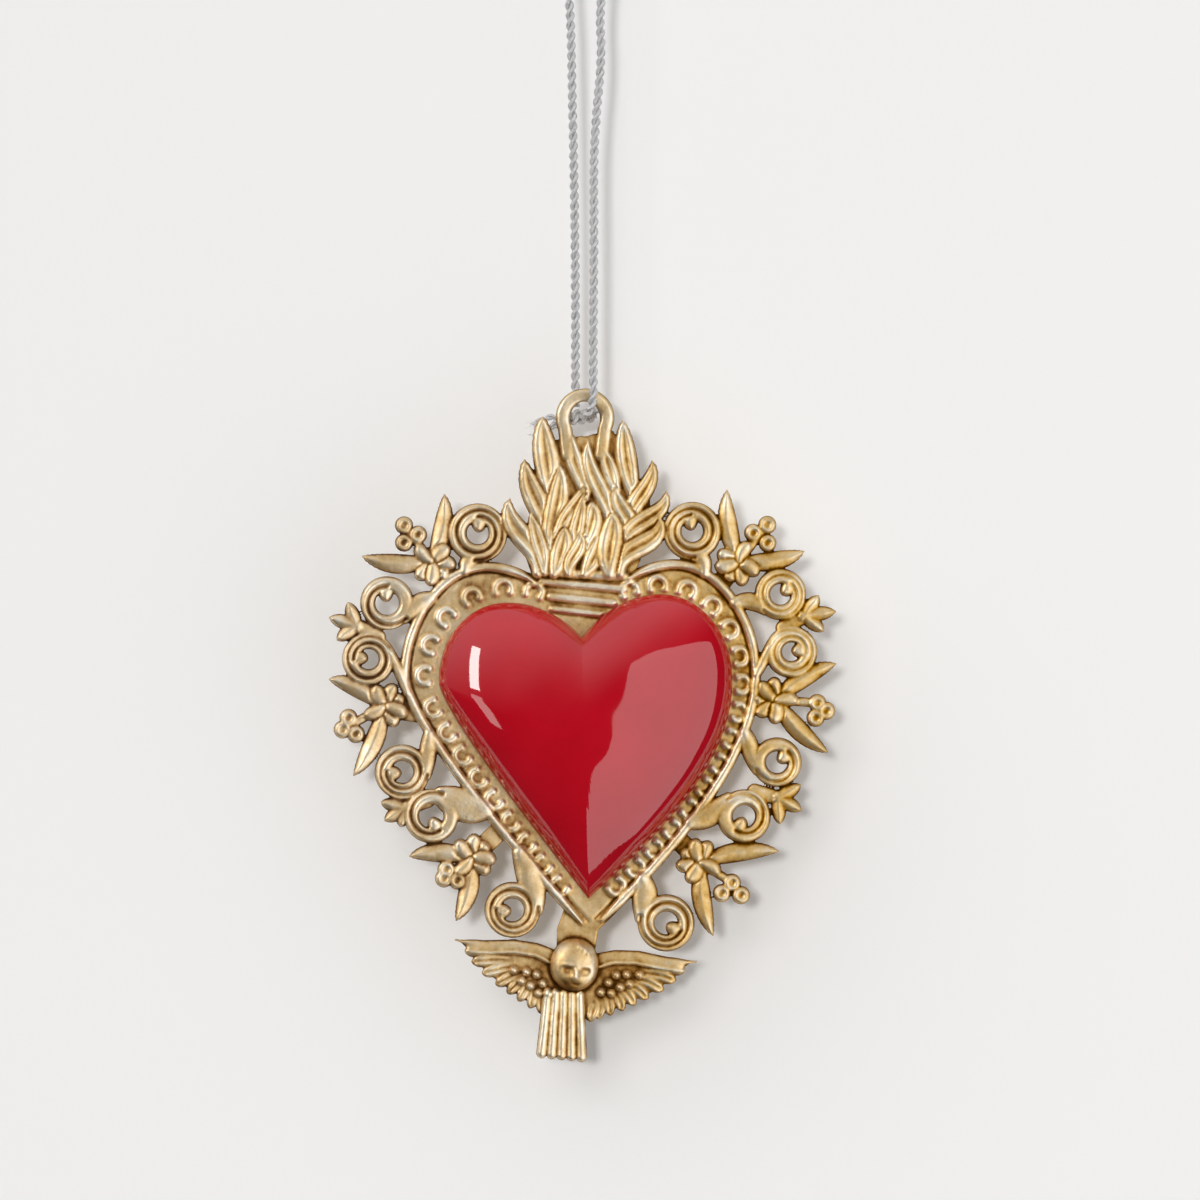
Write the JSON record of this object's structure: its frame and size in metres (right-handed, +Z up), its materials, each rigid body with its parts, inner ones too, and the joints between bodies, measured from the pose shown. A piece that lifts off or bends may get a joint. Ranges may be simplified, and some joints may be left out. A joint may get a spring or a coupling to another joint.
{
  "type": "hanging heart ornament",
  "caption": "Pierced brass ornament with a raised red enamel heart, flame crest, scroll frieze and winged head, hung from a knotted cord loop.",
  "frame": {"origin": "inside of the top of the cord loop, where a hook carries the ornament", "axes": "+Z up along the hanging cord, -Y towards the viewer of the enamelled front, +X to that viewer's right"},
  "size_m": [0.0758, 0.0122, 0.1697],
  "materials": {
    "brass": "polished and worn, brown in the recesses",
    "enamel": "glossy",
    "cord": "metallic twisted yarn"
  },
  "bodies": {
    "cord": {"cord_loop": "cord"},
    "hitch": {"cord_eye_turn": "cord", "cord_back_leg": "cord", "cord_knot": "cord", "cord_upper_end": "cord", "cord_lower_end": "cord"},
    "ornament": {"brass_stamping": "brass", "enamel_heart": "enamel"}
  },
  "joints": [
    {"name": "cord_swing", "type": "hinge", "parent": "cord", "child": "hitch", "pos_m": [-0.0001, -0.00065, -0.06555], "axis": [0, 1, 0], "range_deg": [-15, 15]},
    {"name": "eye_tilt", "type": "hinge", "parent": "hitch", "child": "ornament", "pos_m": [0, -0.00065, -0.06835], "axis": [1, 0, 0], "range_deg": [-70, 10]}
  ]
}
